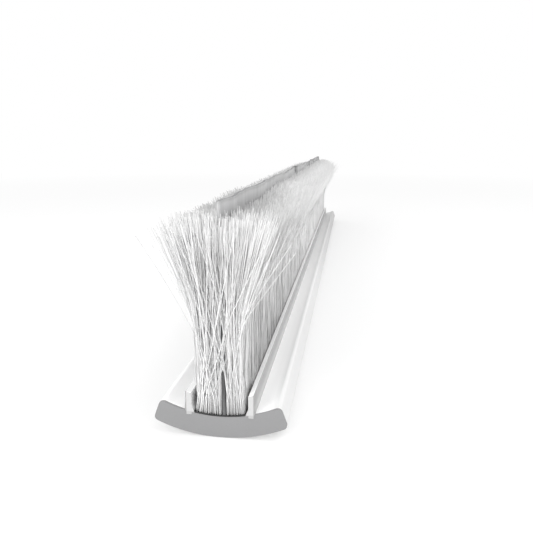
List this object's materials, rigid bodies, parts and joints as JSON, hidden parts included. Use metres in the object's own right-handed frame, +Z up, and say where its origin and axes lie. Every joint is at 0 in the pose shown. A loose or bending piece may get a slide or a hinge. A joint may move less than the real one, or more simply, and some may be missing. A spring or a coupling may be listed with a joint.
{
  "type": "brush seal strip",
  "caption": "Straight length of brush seal strip: a curved base with upright rails holding a dense filament brush split by a thin membrane.",
  "frame": {"origin": "under the middle of the strip, on the lowest line of the convex back", "axes": "+Z up through the brush, away from the base; +Y along the strip, away from the end seen in the picture; +X to the right seen from that end"},
  "size_m": [0.0468, 0.508, 0.0787],
  "materials": {
    "base_profile": "satin white extruded plastic",
    "end_cap": "matte mid grey",
    "rail": "satin white extruded plastic",
    "backing_tray": "matte black",
    "membrane": "soft, slightly translucent grey",
    "filaments": "loose translucent white filaments"
  },
  "bodies": {
    "root": {"base_profile": "base_profile", "end_cap_front": "end_cap", "end_cap_rear": "end_cap", "rail_left": "rail", "rail_right": "rail", "backing_tray": "backing_tray", "membrane": "membrane", "filaments_left": "filaments", "filaments_right": "filaments"}
  },
  "joints": []
}
